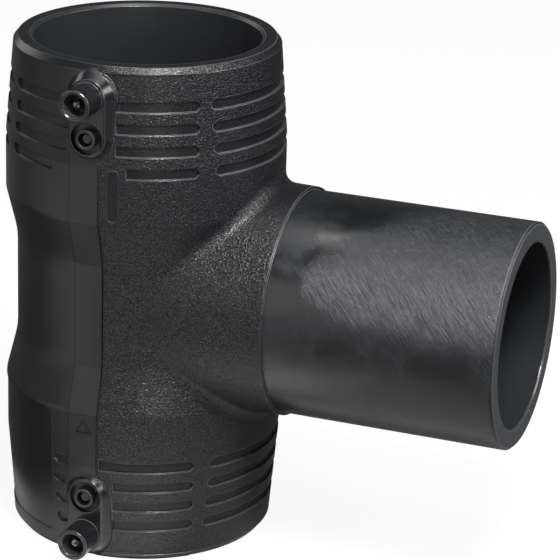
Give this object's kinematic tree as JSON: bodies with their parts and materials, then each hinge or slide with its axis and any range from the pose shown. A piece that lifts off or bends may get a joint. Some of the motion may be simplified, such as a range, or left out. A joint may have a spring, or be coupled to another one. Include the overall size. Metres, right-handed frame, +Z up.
{
  "type": "electrofusion tee",
  "caption": "Black moulded pipe tee: two in-line electrofusion sockets with an embedded heating wire and shrouded terminals, and a plain spigot branch.",
  "frame": {"origin": "centre of the lower socket's mouth, on the run's axis in the plane of the rim", "axes": "+Z up along the run, +X along the branch, the terminals face -Y"},
  "size_m": [0.2651, 0.1546, 0.25],
  "materials": {
    "polyethylene": "satin moulded",
    "resistance_wire": "drawn wire",
    "contact_brass": "tinned, turned",
    "indicator_plastic": "satin moulded"
  },
  "bodies": {
    "root": {"tee_body": "polyethylene", "heating_wire": "resistance_wire", "upper_terminal_pin": "contact_brass", "lower_terminal_pin": "contact_brass", "upper_fusion_indicator": "indicator_plastic", "lower_fusion_indicator": "indicator_plastic"}
  },
  "joints": []
}
